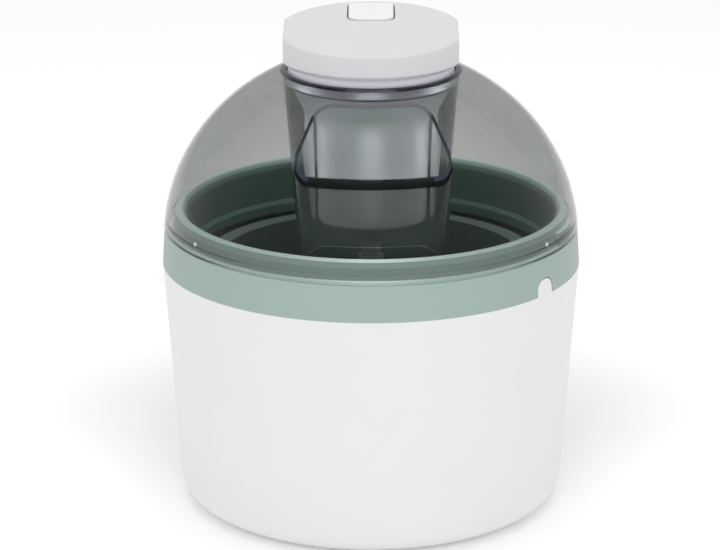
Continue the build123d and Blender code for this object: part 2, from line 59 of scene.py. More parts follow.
# %% [markdown]
# ## Colour and shader helpers
# Paint chips are named in sRGB hex, but Cycles adds light in linear numbers, so one function
# turns the one into the other. A second function adds a shader node with its settings.

# %% Helpers for colours and nodes
def srgb(hex_code):
    """Linear RGBA from a hex colour."""
    parts = [int(hex_code[i:i + 2], 16) / 255 for i in (1, 3, 5)]
    linear = [c / 12.92 if c <= 0.04045 else ((c + 0.055) / 1.055) ** 2.4 for c in parts]
    return (*linear, 1.0)


def add_node(tree, kind, links=None, **settings):
    """A node with its attributes or sockets set; links maps a socket to another node's output."""
    made = tree.nodes.new(kind)
    for key, value in settings.items():
        if hasattr(made, key):
            setattr(made, key, value)
        else:
            made.inputs[key.replace("_", " ")].default_value = value
    for socket, source in (links or {}).items():
        tree.links.new(source, made.inputs[socket])
    return made


def start_material(name):
    made = bpy.data.materials.new(name)
    made.use_nodes = True
    made.node_tree.nodes.clear()
    return made, made.node_tree


def dress(material, *nodes):
    """Put one material on all slots of the named CAD nodes."""
    for name in nodes:
        mesh = frame["nodes"][name].data
        mesh.materials.clear()
        mesh.materials.append(material)
        print("  ", name, "->", material.name)


print("mid grey #808080 is", round(srgb("#808080")[0], 3), "in linear light")

# %% [markdown]
# ## The camera
# A long lens a metre and a half away looks slightly down, so the domed lid shows its feed
# opening and the top of the motor unit. The object stands a little right of centre.

# %% Camera
LENS_MM, SENSOR_MM, SIDE_SHIFT = 154.69, 36.0, -11 / 720
CAMERA_PLACE, LOOK_DOWN = (0.0, -1.49244, 0.59362), 0.310482    # metres and radians
camera_data = bpy.data.cameras.new("camera")
camera_data.lens = LENS_MM
camera_data.sensor_width = SENSOR_MM
camera_data.shift_x = SIDE_SHIFT
camera = bpy.data.objects.new("camera", camera_data)
camera.location = CAMERA_PLACE
camera.rotation_euler = (math.pi / 2 - LOOK_DOWN, 0.0, 0.0)
bpy.context.collection.objects.link(camera)
scene = bpy.context.scene
scene.camera = camera
scene.view_settings.view_transform = "Standard"
print("camera looks down by", round(math.degrees(LOOK_DOWN), 1), "degrees")

# %% [markdown]
# ## Floor
# A pale floor of matt paper runs far past the frame, and glows a little so that it stays near
# white. The broad lamps leave almost no shadow, so a faint shade round the object is mixed
# into the paper's own colour, from its distance to a point just behind the object.

# %% Floor
def plain_material(name, colour, roughness, glow=0.0):
    made, tree = start_material(name)
    shader = add_node(tree, "ShaderNodeBsdfPrincipled", Base_Color=colour, Roughness=roughness,
                      Emission_Color=srgb("#ffffff"), Emission_Strength=glow)
    add_node(tree, "ShaderNodeOutputMaterial", {"Surface": shader.outputs[0]})
    return made, shader


POOL_CENTRE, POOL_REACH, POOL_DEEPEST = (0, 0.115, 0), (0.27, 0.19, 1), 0.27
POOL_FROM, POOL_TO = 0.25, 0.85    # the shade fades out between these parts of its reach


def shade_pool(made, shader, colour):
    """A soft oval shade, mixed into the floor's colour."""
    tree = made.node_tree
    place = add_node(tree, "ShaderNodeTexCoord")
    scaled = add_node(tree, "ShaderNodeMapping", {"Vector": place.outputs["Object"]},
                      vector_type="TEXTURE")
    scaled.inputs["Location"].default_value = POOL_CENTRE
    scaled.inputs["Scale"].default_value = POOL_REACH
    far = add_node(tree, "ShaderNodeVectorMath", {0: scaled.outputs["Vector"]}, operation="LENGTH")
    depth = add_node(tree, "ShaderNodeMapRange", {"Value": far.outputs["Value"]},
                     interpolation_type="SMOOTHSTEP")
    for socket, value in (("From Min", POOL_FROM), ("From Max", POOL_TO),
                          ("To Min", POOL_DEEPEST), ("To Max", 0.0)):
        depth.inputs[socket].default_value = value
    mix = add_node(tree, "ShaderNodeMix", {"Factor": depth.outputs["Result"]}, data_type="RGBA")
    mix.inputs["A"].default_value = colour
    mix.inputs["B"].default_value = (0, 0, 0, 1)
    tree.links.new(mix.outputs["Result"], shader.inputs["Base Color"])


FLOOR_SIZE, PAPER, PAPER_GLOW = 40, "#fafafa", 0.14
bpy.ops.mesh.primitive_plane_add(size=FLOOR_SIZE, location=(0, 0, 0))
floor = bpy.context.object
floor.name = "floor"
paper, paper_shader = plain_material("pale studio floor", srgb(PAPER), 0.9, PAPER_GLOW)
shade_pool(paper, paper_shader, srgb(PAPER))
floor.data.materials.append(paper)
print("floor:", tuple(floor.dimensions))

# %% [markdown]
# ## Lamps
# Two broad softboxes in front, one overhead and the white surroundings light the object from
# everywhere, as in a light tent. They are kept out of reflections, so the clear lid shows
# what is inside it and not the studio.

# %% Lamps
def area_lamp(name, place, target, size, power):
    """Soft rectangular lamp, aimed at target and kept out of sight."""
    lamp = bpy.data.lights.new(name, "AREA")
    lamp.shape = "RECTANGLE"
    lamp.size, lamp.size_y = size
    lamp.energy = power
    made = bpy.data.objects.new(name, lamp)
    made.location = place
    made.rotation_euler = (Vector(target) - Vector(place)).to_track_quat("-Z", "Y").to_euler()
    made.visible_camera = made.visible_glossy = False
    bpy.context.collection.objects.link(made)
    return made


world = bpy.data.worlds.new("studio")
scene.world = world
world.use_nodes = True
TENT_STRENGTH = 0.65
sky = world.node_tree.nodes["Background"]
sky.inputs["Color"].default_value = srgb("#ffffff")
sky.inputs["Strength"].default_value = TENT_STRENGTH
MIDDLE = (0, 0, 0.1)
for name, place, side, power in (("softbox left", (-0.7, -2.1, 1.5), 1.2, 5.5),
                                 ("softbox right", (0.7, -2.1, 1.5), 1.2, 5.5),
                                 ("overhead", (0, 0.1, 2.2), 1.6, 15)):
    area_lamp(name, place, MIDDLE, (side, side), power)
print("lamps placed:", len(bpy.data.lights))

# %% [markdown]
# ## Moulded plastics
# ABS housings come out of a finely spark-eroded tool: an even satin with a very faint mottle.
# The tool's own grain is about a tenth of a millimetre, too fine to show, so it is drawn
# 0.5 to 0.8 mm coarse. Acetal, polypropylene and rubber are moulded too, each with its own
# gloss, so one function makes them all.

# %% Plastic maker
CLOUD_MM, GLOSS_SWING, GRAIN_BUMP = 35, 0.04, 0.35


def moulded_plastic(name, colour, roughness, grain_mm, depth_mm, mottle=0.02):
    """Satin moulded plastic: tool grain in the bump, a faint mottle in colour and gloss."""
    made, tree = start_material(name)
    place = add_node(tree, "ShaderNodeTexCoord")
    grain = add_node(tree, "ShaderNodeTexNoise", {"Vector": place.outputs["Object"]},
                     Scale=1000 / grain_mm, Detail=3.0, Roughness=0.6)
    cloud = add_node(tree, "ShaderNodeTexNoise", {"Vector": place.outputs["Object"]},
                     Scale=1000 / CLOUD_MM, Detail=2.0)
    tint = add_node(tree, "ShaderNodeMix", {"Factor": cloud.outputs["Fac"]}, data_type="RGBA")
    tint.inputs["A"].default_value = tuple(c * (1 - mottle) for c in colour[:3]) + (1,)
    tint.inputs["B"].default_value = tuple(min(1, c * (1 + mottle)) for c in colour[:3]) + (1,)
    gloss = add_node(tree, "ShaderNodeMapRange", {"Value": cloud.outputs["Fac"]})
    gloss.inputs["To Min"].default_value = roughness - GLOSS_SWING
    gloss.inputs["To Max"].default_value = roughness + GLOSS_SWING
    bump = add_node(tree, "ShaderNodeBump", {"Height": grain.outputs["Fac"]},
                    Strength=GRAIN_BUMP, Distance=depth_mm * MM)
    shader = add_node(tree, "ShaderNodeBsdfPrincipled",
                      {"Base Color": tint.outputs["Result"], "Roughness": gloss.outputs["Result"],
                       "Normal": bump.outputs["Normal"]}, IOR=1.53)
    add_node(tree, "ShaderNodeOutputMaterial", {"Surface": shader.outputs[0]})
    return made


# ABS from a satin tool: soft even white, no clear reflections.
white_abs = moulded_plastic("white ABS moulding", srgb("#ebebeb"), 0.38, 0.5, 0.02)
cap_abs = moulded_plastic("cool white ABS cap", srgb("#dddde0"), 0.35, 0.5, 0.02)
# The flange is the cap's white painted lighter: painted light that makes up for the shade under the
# cap's overhang.
flange_abs_painted_light = moulded_plastic("cool white ABS flange", srgb("#eeedf6"), 0.35, 0.5, 0.02)
# The rocker's ABS comes from a polished tool, so it is a little glossier and brighter.
key_abs = moulded_plastic("bright white ABS key", srgb("#f4f4f4"), 0.25, 0.5, 0.01)
# Machined or moulded acetal has a dull waxy shine.
dark_acetal = moulded_plastic("black acetal", srgb("#1b1d1f"), 0.4, 0.6, 0.02)
pale_acetal = moulded_plastic("natural acetal", srgb("#dcdcd2"), 0.4, 0.6, 0.02)
# Moulded rubber is nearly matt.
soft_rubber = moulded_plastic("black rubber", srgb("#202020"), 0.75, 0.8, 0.05)
# Polypropylene is waxy: softer highlights than ABS.
bowl_pp = moulded_plastic("grey polypropylene", srgb("#8d8c86"), 0.45, 0.6, 0.03)
paddle_pp = moulded_plastic("milk white polypropylene", srgb("#dfe7e3"), 0.4, 0.6, 0.02)
print("plastics mixed:", len(bpy.data.materials))

# %% [markdown]
# ## Sage green collar
# The real collar is one colour of polypropylene, dyed through and moulded satin. Under the smoked lid
# its shoulder reads a little lighter than plain light makes it, and its inside wall, facing the dark
# bowl, a good deal deeper. The lamps here don't reach both, so three tones stand in for them: the plain
# colour, a painted highlight on the shoulder and a painted shade on the inside wall. They change at two
# radii worked out from Object coordinates.

# %% Three tones for the collar
CREST_R, SHOULDER_R = 0.0958, 0.1032
CREST_FADE, SHOULDER_FADE = 0.0035, 0.0004
SAGE_OUTSIDE, SAGE_SHOULDER_PAINTED_LIGHT, SAGE_INSIDE_PAINTED_SHADE = "#92a49e", "#9eb1aa", "#3e5850"


def collar_plastic(name, outside, shoulder, inside):
    made = moulded_plastic(name, srgb(outside), 0.42, 0.5, 0.02)
    tree = made.node_tree
    shader = next(n for n in tree.nodes if n.type == "BSDF_PRINCIPLED")
    dye_and_painted_light = shader.inputs["Base Color"].links[0].from_socket
    place = add_node(tree, "ShaderNodeTexCoord")
    flat = add_node(tree, "ShaderNodeVectorMath", {0: place.outputs["Object"]}, operation="MULTIPLY")
    flat.inputs[1].default_value = (1, 1, 0)
    radius = add_node(tree, "ShaderNodeVectorMath", {0: flat.outputs["Vector"]}, operation="LENGTH")
    # Inside SHOULDER_R the shoulder's painted highlight takes over, and inside CREST_R the inside
    # wall's painted shade.
    for start, width, colour in ((SHOULDER_R, SHOULDER_FADE, shoulder),
                                 (CREST_R, CREST_FADE, inside)):
        depth = add_node(tree, "ShaderNodeMapRange", {"Value": radius.outputs["Value"]})
        depth.inputs["From Min"].default_value = start
        depth.inputs["From Max"].default_value = start - width
        tone = add_node(tree, "ShaderNodeMix", {"Factor": depth.outputs["Result"], "A": dye_and_painted_light},
                        data_type="RGBA")
        tone.inputs["B"].default_value = srgb(colour)
        dye_and_painted_light = tone.outputs["Result"]
    tree.links.new(dye_and_painted_light, shader.inputs["Base Color"])
    return made


sage_pp = collar_plastic("sage green polypropylene", SAGE_OUTSIDE, SAGE_SHOULDER_PAINTED_LIGHT, SAGE_INSIDE_PAINTED_SHADE)
print("collar tones:", SAGE_OUTSIDE, SAGE_SHOULDER_PAINTED_LIGHT, SAGE_INSIDE_PAINTED_SHADE)

# %% [markdown]
# ## Smoked clear SAN
# The lid is a clear copolymer dyed smoke grey all through, so a longer way through the wall looks
# darker: that draws the dark edges of the mouth and the feed opening. Absorption in the volume does
# this by itself. A Light Path switch lets lamps reach through the skin. A satin colour is also mixed
# into the skin as painted light: painted reflections in slate on the cut edges and in green on the feed
# walls, and a grey painted highlight on the back of the lip. These stand in for the glints that a real
# studio leaves there.

# %% Clear smoked plastic
DYE, DYE_DENSITY = "#7c8481", 326
EDGE_SLATE, WALL_PAINTED_REFLECTION, LIP_GLEAM, DOT_PALE = "#2b3148", "#8fa8a0", "#8e9097", "#c4cec9"


def smoked_clear(name, glint, painted_reflection, painted_reflection_colour=EDGE_SLATE):
    """Clear plastic dyed in its volume; the third argument is how much of its skin is a coloured satin,
    mixed in as a painted reflection.
    """
    made, tree = start_material(name)
    glass = add_node(tree, "ShaderNodeBsdfPrincipled", Base_Color=srgb("#ffffff"), Roughness=0.02,
                     IOR=1.57, Transmission_Weight=1.0, Specular_Tint=srgb(glint))
    skin = glass
    if painted_reflection:
        painted_reflection_shader = add_node(tree, "ShaderNodeBsdfPrincipled", Base_Color=srgb(painted_reflection_colour),
                         Roughness=0.3)
        skin = add_node(tree, "ShaderNodeMixShader", {1: glass.outputs[0], 2: painted_reflection_shader.outputs[0]},
                        Fac=painted_reflection)
    passing = add_node(tree, "ShaderNodeBsdfTransparent", Color=srgb("#ffffff"))
    path = add_node(tree, "ShaderNodeLightPath")
    switch = add_node(tree, "ShaderNodeMixShader", {0: path.outputs["Is Shadow Ray"],
                                                    1: skin.outputs[0], 2: passing.outputs[0]})
    dye = add_node(tree, "ShaderNodeVolumeAbsorption", Color=srgb(DYE), Density=DYE_DENSITY)
    add_node(tree, "ShaderNodeOutputMaterial", {"Surface": switch.outputs[0],
                                                "Volume": dye.outputs[0]})
    return made


smoke_dome = smoked_clear("smoked SAN", "#666666", 0.0)
# The cut edge and the feed wall get slate and green painted reflections in their skin.
smoke_edge = smoked_clear("smoked SAN cut edge", "#ffffff", 0.6)
smoke_wall = smoked_clear("smoked SAN feed wall", "#666666", 0.17, WALL_PAINTED_REFLECTION)
# The back of the lip gets a grey painted highlight, and the dots get a pale painted highlight.
smoke_gleam = smoked_clear("smoked SAN polished lip", "#ffffff", 0.5, LIP_GLEAM)
dot_painted_highlight, _ = plain_material("polished dot", srgb(DOT_PALE), 0.12)
DOME_WALL = 1.8    # millimetres
absorbed = DYE_DENSITY * (1 - srgb(DYE)[0]) * DOME_WALL * MM
print("dome wall lets", round(math.exp(-absorbed), 2), "of the light through")

# %% [markdown]
# ## Metals
# Screws and pins are zinc plated, the bowl is lined with hard anodised aluminium, which is
# dark and a little rough, and the bushes are sintered bronze. A fine noise in the roughness
# breaks up the shine; the metals keep the default IOR.

# %% Metals
SPOT_GLOSS, SPOT_TONE = 0.08, 0.1


def bare_metal(name, colour, roughness, metallic=1.0, spot_mm=1.2):
    """Metal or metal-filled paint whose gloss changes a little from spot to spot."""
    made, tree = start_material(name)
    place = add_node(tree, "ShaderNodeTexCoord")
    spots = add_node(tree, "ShaderNodeTexNoise", {"Vector": place.outputs["Object"]},
                     Scale=1000 / spot_mm, Detail=4.0)
    gloss = add_node(tree, "ShaderNodeMapRange", {"Value": spots.outputs["Fac"]})
    gloss.inputs["To Min"].default_value = roughness - SPOT_GLOSS
    gloss.inputs["To Max"].default_value = roughness + SPOT_GLOSS
    shade = add_node(tree, "ShaderNodeMix", {"Factor": spots.outputs["Fac"]}, data_type="RGBA")
    shade.inputs["A"].default_value = tuple((1 - SPOT_TONE) * c for c in colour[:3]) + (1,)
    shade.inputs["B"].default_value = tuple(min(1, (1 + SPOT_TONE) * c) for c in colour[:3]) + (1,)
    shader = add_node(tree, "ShaderNodeBsdfPrincipled", {"Roughness": gloss.outputs["Result"],
                                                         "Base Color": shade.outputs["Result"]},
                      Metallic=metallic)
    add_node(tree, "ShaderNodeOutputMaterial", {"Surface": shader.outputs[0]})
    return made


zinc_steel = bare_metal("zinc plated steel", srgb("#b9bcc0"), 0.35)
anodised = bare_metal("hard anodised aluminium", srgb("#515f5a"), 0.5, 0.3, 2.5)
sinter_bronze = bare_metal("sintered bronze", srgb("#a87b4a"), 0.4)
# Silver paint on ABS: fine flakes in a clear binder, so only part of it shines as metal. The seat of
# the sleeve gets a painted shade, a deeper grey copy of the paint, because its own lamps are brightest
# there.
silver_paint = bare_metal("silver painted ABS", srgb("#c4c5cb"), 0.45, 0.3, 0.8)
seat_painted_shade = bare_metal("silver painted ABS seat", srgb("#8b8c94"), 0.45, 0.3, 0.8)
print("materials so far:", len(bpy.data.materials))

# %% [markdown]
# ## Turned pieces
# The lid, the motor sleeve, the flange, the feet and the screws are all turned about an axis.
# A turned piece is an outline of (radius, height) pairs carried round in small steps. The
# outline may change with the angle, which is how the flange gets its two flats.

# %% A lathe in mesh code
CREASE_DEG = 32


def finish_mesh(name, bm, material):
    """Merge, make faces point outwards, smooth by angle and link."""
    bmesh.ops.remove_doubles(bm, verts=bm.verts, dist=1e-6)
    bmesh.ops.recalc_face_normals(bm, faces=bm.faces)
    mesh = bpy.data.meshes.new(name)
    bm.to_mesh(mesh)
    bm.free()
    mesh.materials.append(material)
    made = bpy.data.objects.new(name, mesh)
    bpy.context.collection.objects.link(made)
    smooth_by_angle(made, CREASE_DEG)
    return made


def smooth_by_angle(made, crease_deg):
    """Smooth shading, with edges sharper than the crease left hard."""
    mesh = made.data
    mesh.shade_smooth()
    mesh.set_sharp_from_angle(angle=math.radians(crease_deg))


def even_angles(steps):
    return [360.0 * i / steps for i in range(steps)]


def lathe(name, outline_at, angles, material):
    """Closed solid from outline_at(angle), a closed list of (radius, height) in millimetres."""
    bm = bmesh.new()
    rings = []
    for a in angles:
        c, s = math.cos(math.radians(a)), math.sin(math.radians(a))
        rings.append([bm.verts.new((r * c * MM, r * s * MM, z * MM)) for r, z in outline_at(a)])
    n = len(rings[0])
    for i, ring in enumerate(rings):
        after = rings[(i + 1) % len(rings)]
        for j in range(n):
            k = (j + 1) % n
            quad = [ring[j], after[j], after[k], ring[k]]
            if (quad[0].co - quad[1].co).length < 1e-9:
                quad.pop(0)
            if len(quad) > 2 and (quad[-1].co - quad[-2].co).length < 1e-9:
                quad.pop()
            if len(quad) > 2:
                bm.faces.new(quad)
    return finish_mesh(name, bm, material)


def stretch(p, q, steps):
    """Points between p and q, both left out."""
    return [(p[0] + (q[0] - p[0]) * i / steps, p[1] + (q[1] - p[1]) * i / steps)
            for i in range(1, steps)]


print("points between 0 and 9:", stretch((0, 0), (9, 0), 3))

# %% [markdown]
# ## The smoked lid
# Dome, chimney and feed chute are one clear moulding. The dome is half an ellipse turned
# about Z, so its wall bends light evenly with no facets. The feed opening is a slice of a
# ring: it is cut through the dome and its walls are joined on with exact booleans.

# %% Lid dimensions, in millimetres
DOME_A, DOME_B, DOME_CENTRE = 104.4, 96.2, 135.5
RIM_Z = 142.4
MOUTH_R, MOUTH_EDGE_R, MOUTH_TOP = 41.8, 43.9, 222.9
SEAT_Z, SEAT_R = 216.0, 40.6
CHIMNEY_LOW, CHIMNEY_LOW_R, CHIMNEY_WALL = 145.0, 36.6, 1.2
FEED_IN, FEED_OUT, FEED_HALF, FEED_CENTRE = 55.2, 86.2, 26.8, -89.2
CHUTE_WALL, CHUTE_DRAFT, CHUTE_LOW = 1.5, 1.8, 147.0


def dome_z(r, grow=0.0):
    return DOME_CENTRE + (DOME_B + grow) * math.sqrt(1 - (r / (DOME_A + grow)) ** 2)


def dome_arc(grow, r_from, z_low, steps):
    """Points from the mouth radius out and down to z_low, evenly spread by angle."""
    a, b = DOME_A + grow, DOME_B + grow
    t0, t1 = math.asin(r_from / a), math.acos((z_low - DOME_CENTRE) / b)
    turns = [t0 + (t1 - t0) * i / steps for i in range(steps + 1)]
    return [(a * math.sin(t), DOME_CENTRE + b * math.cos(t)) for t in turns]


tube_low_r = CHIMNEY_LOW_R + CHIMNEY_WALL
lid_outline = dome_arc(0, MOUTH_EDGE_R + 0.6, RIM_Z + 0.6, 60)
lid_outline += [(103.6, RIM_Z), (102.3, RIM_Z), (101.9, RIM_Z + 0.5)]
BEAD_Z, BEAD_HIGH = 146.8, 0.4
inner_wall = dome_arc(-DOME_WALL, MOUTH_EDGE_R + 0.6, RIM_Z + 1.4, 120)
near = min(range(len(inner_wall)), key=lambda i: abs(inner_wall[i][1] - BEAD_Z))
inner_wall[near] = (inner_wall[near][0] - BEAD_HIGH, inner_wall[near][1])
lid_outline += list(reversed(inner_wall))
lid_outline += [(MOUTH_EDGE_R - 0.2, 218.4), (MOUTH_EDGE_R - 0.6, SEAT_Z - 0.5)]
lid_outline += stretch((MOUTH_EDGE_R - 0.6, SEAT_Z - 0.5), (tube_low_r, CHIMNEY_LOW), 6)
lid_outline += [(tube_low_r, CHIMNEY_LOW + 0.5), (tube_low_r - 0.5, CHIMNEY_LOW),
                (CHIMNEY_LOW_R - 1.6, CHIMNEY_LOW), (CHIMNEY_LOW_R - 1.6, CHIMNEY_LOW + 0.8),
                (CHIMNEY_LOW_R, CHIMNEY_LOW + 2.0)]
lid_outline += stretch((CHIMNEY_LOW_R, CHIMNEY_LOW + 2.0), (SEAT_R, SEAT_Z), 6)
lid_outline += [(SEAT_R, SEAT_Z - 0.3), (SEAT_R + 0.3, SEAT_Z), (MOUTH_R, SEAT_Z),
                (MOUTH_R, MOUTH_TOP - 0.5), (MOUTH_R + 0.5, MOUTH_TOP),
                (MOUTH_EDGE_R - 0.4, MOUTH_TOP)]
lid = lathe("lid_moulding", lambda a: lid_outline, even_angles(240), smoke_dome)
CLEAR, EDGE, DOT, WALL, GLEAM = range(5)    # material slots of the lid
LIP_BAND, LIP_WIDTH = 1.2, 1.4
for material in (smoke_edge, dot_painted_highlight, smoke_wall, smoke_gleam):
    lid.data.materials.append(material)
# The mouth's top edge takes the slate painted reflection.
for face in lid.data.polygons:
    spot = face.center / MM
    on_lip = math.hypot(spot.x, spot.y) < MOUTH_EDGE_R + LIP_WIDTH
    if spot.z > MOUTH_TOP - LIP_BAND and on_lip:
        face.material_index = EDGE
print("lid turned:", len(lid.data.vertices), "points")

# %% [markdown]
# ## Outline of the feed opening
# Seen from above, the opening is a slice of a ring with rounded corners. The outline is found
# on the flat and then lifted to the dome, so one function gives the cut, the walls and the
# lip, each grown by its own amount.

# %% Feed opening outline
def feed_outline(grow, round_mm, per_corner=10):
    """Slice of a ring seen from above, its four corners rounded, grown by grow."""
    r0, r1 = FEED_IN - grow, FEED_OUT + grow
    points = []
    for r, side, inward in ((r1, -1, -1), (r1, 1, -1), (r0, 1, 1), (r0, -1, 1)):
        rc = r + inward * round_mm
        offset = math.degrees(math.asin((round_mm - grow) / rc))
        a_c = FEED_CENTRE + side * (FEED_HALF - offset)
        cx, cy = rc * math.cos(math.radians(a_c)), rc * math.sin(math.radians(a_c))
        radial = a_c if inward < 0 else a_c + 180
        flank = FEED_CENTRE + side * (FEED_HALF + 90)
        start, end = (flank, radial) if (side, inward) in ((-1, -1), (1, 1)) else (radial, flank)
        while end - start > 180:
            end -= 360
        while end - start < -180:
            end += 360
        for i in range(per_corner + 1):
            t = math.radians(start + (end - start) * i / per_corner)
            points.append((cx + round_mm * math.cos(t), cy + round_mm * math.sin(t)))
        if side == -1 and inward == -1:
            points += ring_run(r1, a_c, FEED_CENTRE + (FEED_HALF - offset))
        if side == 1 and inward == 1:
            points += ring_run(r0, a_c, FEED_CENTRE - (FEED_HALF - offset))
    return points


def ring_run(r, a_from, a_to, steps=24):
    """Points along a circular arc between two corners, both left out."""
    out = []
    for i in range(1, steps):
        t = math.radians(a_from + (a_to - a_from) * i / steps)
        out.append((r * math.cos(t), r * math.sin(t)))
    return out


print("feed outline:", len(feed_outline(0.0, 8.0)), "points")

# %% [markdown]
# ## Cutting the opening and joining its walls
# The walls are a skin between loops: the outer wall from its foot up to the dome, over a low
# rounded lip, and down the inside again. The dome is cut along the middle of the wall, so
# that the union has something to bite on.

# %% Feed walls
def skin(name, loops, material, closed, lip=(), inner_slot=0):
    """Quads between loops of equal length; closed joins the last loop to the first.

    The strips whose numbers are in lip get the edge's material slot."""
    bm = bmesh.new()
    rows = [[bm.verts.new((x * MM, y * MM, z * MM)) for x, y, z in loop] for loop in loops]
    count = len(rows)
    for i in range(count if closed else count - 1):
        low, high = rows[i], rows[(i + 1) % count]
        for j in range(len(low)):
            k = (j + 1) % len(low)
            strip = bm.faces.new([low[j], low[k], high[k], high[j]])
            strip.material_index = EDGE if i in lip else inner_slot
    if not closed:
        bm.faces.new(list(reversed(rows[0])))
        bm.faces.new(rows[-1])
    return finish_mesh(name, bm, material)


def lift_to_dome(points, above):
    return [(x, y, dome_z(math.hypot(x, y)) + above) for x, y in points]


def at_height(points, z):
    return [(x, y, z) for x, y in points]


CORNER, LIP, LIP_START = 8.0, 0.35, 0.08
LIP_UNDER, LIP_SIDE, LIP_CREST = -1.0, 0.15, 0.5    # heights of the lip over the dome
CUT_LOW, CUT_HIGH = 170, 235


def feed_loop(grow):
    return feed_outline(grow, CORNER + grow)


cutter_plan = feed_loop(CHUTE_WALL / 2)
cutter = skin("feed_cutter", [at_height(cutter_plan, CUT_LOW), at_height(cutter_plan, CUT_HIGH)],
              smoke_dome, False)
# The lip strips take the slate painted reflection, and the other strips take the green painted
# reflection of the feed wall.
chute = skin("chute_walls", [
    at_height(feed_loop(CHUTE_WALL - CHUTE_DRAFT), CHUTE_LOW),
    lift_to_dome(feed_loop(CHUTE_WALL), LIP_UNDER),
    lift_to_dome(feed_loop(CHUTE_WALL - LIP_START), LIP_SIDE),
    lift_to_dome(feed_loop(CHUTE_WALL - LIP), LIP_CREST),
    lift_to_dome(feed_loop(LIP), LIP_CREST),
    lift_to_dome(feed_loop(LIP_START), LIP_SIDE),
    lift_to_dome(feed_loop(0.0), LIP_UNDER),
    at_height(feed_loop(-CHUTE_DRAFT), CHUTE_LOW),
], smoke_dome, True, lip=(1, 2, 3, 4, 5), inner_slot=WALL)
for material in (smoke_edge, dot_painted_highlight, smoke_wall, smoke_gleam):
    chute.data.materials.append(material)


def combine(target, tool, operation):
    """Exact boolean, applied at once; the tool is thrown away."""
    step = target.modifiers.new(operation, "BOOLEAN")
    step.operation, step.solver, step.object = operation, "EXACT", tool
    graph = bpy.context.evaluated_depsgraph_get()
    result = bpy.data.meshes.new_from_object(target.evaluated_get(graph))
    target.modifiers.remove(step)
    target.data = result
    bpy.data.objects.remove(tool)
    return target


combine(lid, cutter, "DIFFERENCE")
combine(lid, chute, "UNION")
print("lid with its feed walls:", len(lid.data.polygons), "faces")

# %% [markdown]
# ## Dots and the finished lid
# Two small raised dots near the rim show how the lid lines up with the collar. They are joined on like
# the walls, and their pale colour is a painted highlight. The lip keeps its slate painted reflection
# only at the sides of the opening: along the front it is left clear, and along the back it gets a grey
# painted highlight.

# %% Two raised dots on the rim
DOT_ANGLES, DOT_R, DOT_Z, DOT_SIZE = (-34.4, 214.4), 102.9, 149.0, 1.2
for turn in DOT_ANGLES:
    bm = bmesh.new()
    spot = Matrix.Translation((DOT_R * math.cos(math.radians(turn)) * MM,
                               DOT_R * math.sin(math.radians(turn)) * MM, DOT_Z * MM))
    bmesh.ops.create_icosphere(bm, subdivisions=3, radius=DOT_SIZE * MM, matrix=spot)
    for face in bm.faces:
        face.material_index = DOT
    combine(lid, finish_mesh("dot", bm, smoke_dome), "UNION")
# Along the front the lip loses its slate painted reflection; along the back it takes the grey painted
# highlight.
SIDE_X, TOP_EDGE_Z = 29.0, 196.0
for face in lid.data.polygons:
    spot = face.center / MM
    on_feed = face.material_index == EDGE and spot.z < MOUTH_TOP - LIP_BAND
    if on_feed and abs(spot.x) < SIDE_X:
        face.material_index = GLEAM if spot.z > TOP_EDGE_Z else CLEAR
lid.name = "lid_moulding"
smooth_by_angle(lid, CREASE_DEG)
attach(lid, "lid")
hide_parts("lid_dome", "chimney_tube", "feed_chute")
print("lid finished:", len(lid.data.polygons), "faces")

# %% [markdown]
# ## Motor sleeve and cap flange
# Below the cap hangs a sleeve that holds the gearbox and plugs into the chimney. It is
# painted silver grey; the flange that carries the cap is white like the cap. Both are turned.

# %% Sleeve and flange
SLEEVE_TOP, CAP_SEAM, SLEEVE_R, SLEEVE_SEAT_Z = 222.4, 229.0, 33.0, 215.5
SEAT_OUT_R, BORE_R = 41.3, 30.8
sleeve_outline = [(23.4, 146.4), (24.4, 146.5), (25.2, 147.2), (26.2, 148.2), (30.4, 148.4),
                  (31.6, 148.8), (32.6, 150.0), (SLEEVE_R, 152.0)]
sleeve_outline += stretch((SLEEVE_R, 152.0), (SLEEVE_R, 202.0), 8)
sleeve_outline += [(SLEEVE_R, 202.0), (SLEEVE_R + 0.8, 204.0), (39.0, 215.0), (40.2, 216.2),
                   (SEAT_OUT_R, 216.6), (SEAT_OUT_R, SLEEVE_TOP), (BORE_R, SLEEVE_TOP),
                   (BORE_R, 158.0), (29.2, 154.4), (25.6, 152.6), (24.6, 149.0), (7.0, 149.0),
                   (6.6, 148.6), (6.6, 147.0), (7.0, 146.4)]
sleeve = lathe("motor_sleeve", lambda a: sleeve_outline, even_angles(144), silver_paint)
# Faces above the seat height take the seat's painted shade.
sleeve.data.materials.append(seat_painted_shade)
for face in sleeve.data.polygons:
    if face.center.z > SLEEVE_SEAT_Z * MM:
        face.material_index = 1
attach(sleeve, "motor_unit")
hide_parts("motor_housing")


def cap_flat_radius(radius, half_width, angle):
    """Radius of a disc cut flat at left and right."""
    across = abs(math.cos(math.radians(angle)))
    return min(radius, half_width / across) if across > 1e-6 else radius


def flange_outline(angle):
    low, high = cap_flat_radius(43.6, 41.9, angle), cap_flat_radius(45.4, 42.8, angle)
    return [(BORE_R, SLEEVE_TOP), (SEAT_OUT_R, SLEEVE_TOP), (SEAT_OUT_R, 226.4), (low - 0.3, 226.6),
            (low, 226.9), (high, CAP_SEAM - 0.5), (high - 0.3, CAP_SEAM), (BORE_R, CAP_SEAM)]


flange = lathe("cap_flange", flange_outline, even_angles(240), flange_abs_painted_light)
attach(flange, "motor_unit")
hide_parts("motor_housing")
print("sleeve and flange:", len(sleeve.data.polygons), len(flange.data.polygons), "faces")

